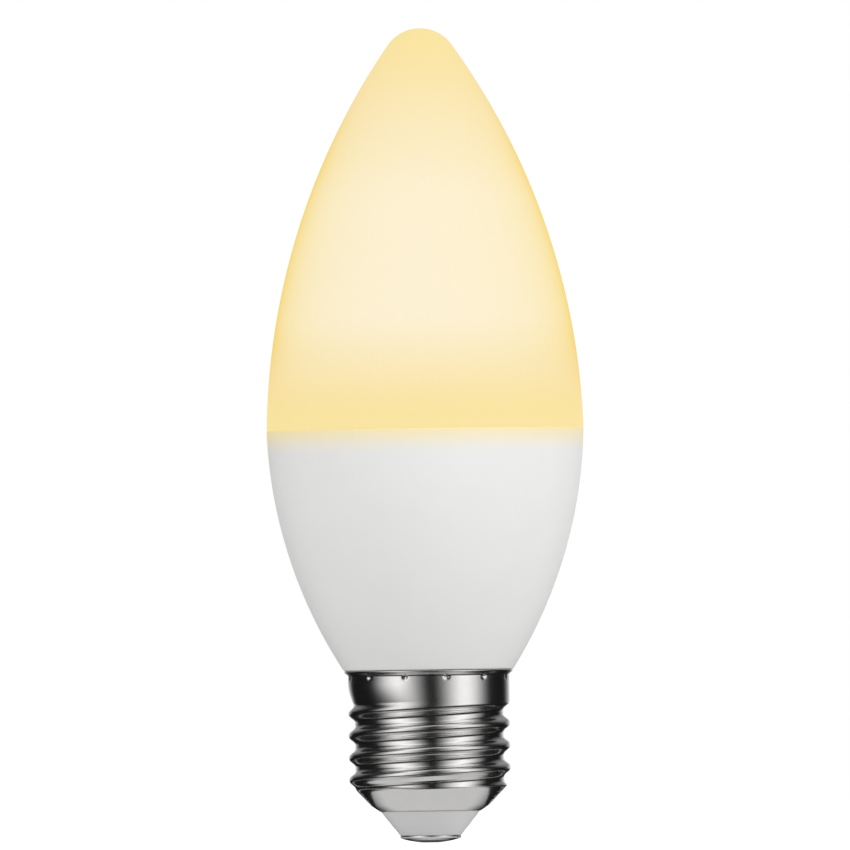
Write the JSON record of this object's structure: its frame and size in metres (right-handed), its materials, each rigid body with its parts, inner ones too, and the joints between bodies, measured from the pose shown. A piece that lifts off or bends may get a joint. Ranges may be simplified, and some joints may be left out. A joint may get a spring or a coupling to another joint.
{
  "type": "candle bulb",
  "caption": "Candle-shaped LED bulb with a milky pointed dome, a white tapering housing and a nickel-plated E27 screw cap, giving warm light in a lamp holder.",
  "frame": {"origin": "the lowest point of the centre contact, on the bulb's axis", "axes": "+Z along the bulb's axis from the centre contact to the tip of the dome; -Y is the side in the picture"},
  "size_m": [0.0518, 0.0518, 0.1332],
  "materials": {
    "milky_diffuser": "milky satin plastic, lit warm white from inside",
    "white_housing": "white satin moulded plastic",
    "nickel_shell": "bright nickel plate on rolled sheet",
    "grey_insulator": "light grey satin moulded plastic",
    "nickel_contact": "bright nickel plate"
  },
  "bodies": {
    "root": {"diffuser_dome": "milky_diffuser", "housing": "white_housing", "screw_shell": "nickel_shell", "base_insulator": "grey_insulator", "centre_contact": "nickel_contact"}
  },
  "joints": []
}
